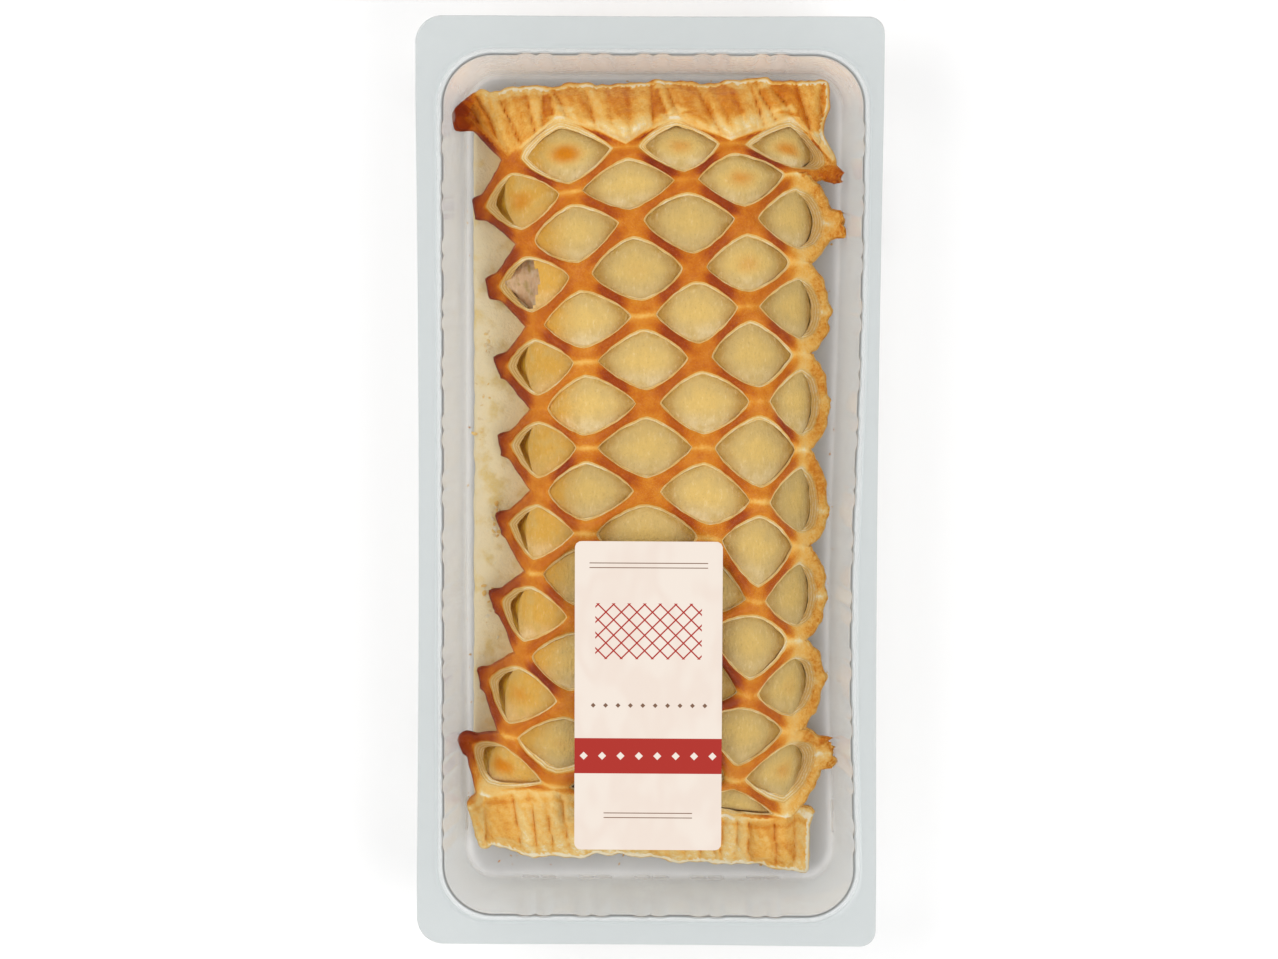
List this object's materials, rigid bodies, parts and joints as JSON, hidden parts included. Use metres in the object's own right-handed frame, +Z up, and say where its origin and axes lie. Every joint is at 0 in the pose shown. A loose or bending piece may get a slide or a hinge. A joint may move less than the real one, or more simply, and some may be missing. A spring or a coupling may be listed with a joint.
{
  "type": "salmon and spinach puff pastry in a sealed tray",
  "caption": "Long lattice-topped salmon and spinach puff pastry in a clear fluted tray, closed with a clear film that carries a plain cream label with a red band.",
  "frame": {"origin": "bottom centre of the tray", "axes": "+Y along the long side, towards the end without the label; +Z up, from the tray's floor to the film"},
  "size_m": [0.1497, 0.2998, 0.0392],
  "materials": {
    "clear_plastic": "clear thermoformed plastic, glossy, slightly grey",
    "clear_film": "clear glossy lidding film",
    "label_paper": "coated cream paper with a red band",
    "pale_dough": "pale floury pastry, matt",
    "salmon_filling": "moist pinkish-beige filling",
    "cover_dough": "pale yellow pastry with golden spots",
    "baked_dough": "egg-washed pastry baked to a glossy orange-brown"
  },
  "bodies": {
    "root": {"tray": "clear_plastic", "film": "clear_film", "label": "label_paper", "pastry_base": "pale_dough", "pastry_filling": "salmon_filling", "pastry_cover": "cover_dough", "pastry_lattice": "baked_dough"}
  },
  "joints": []
}
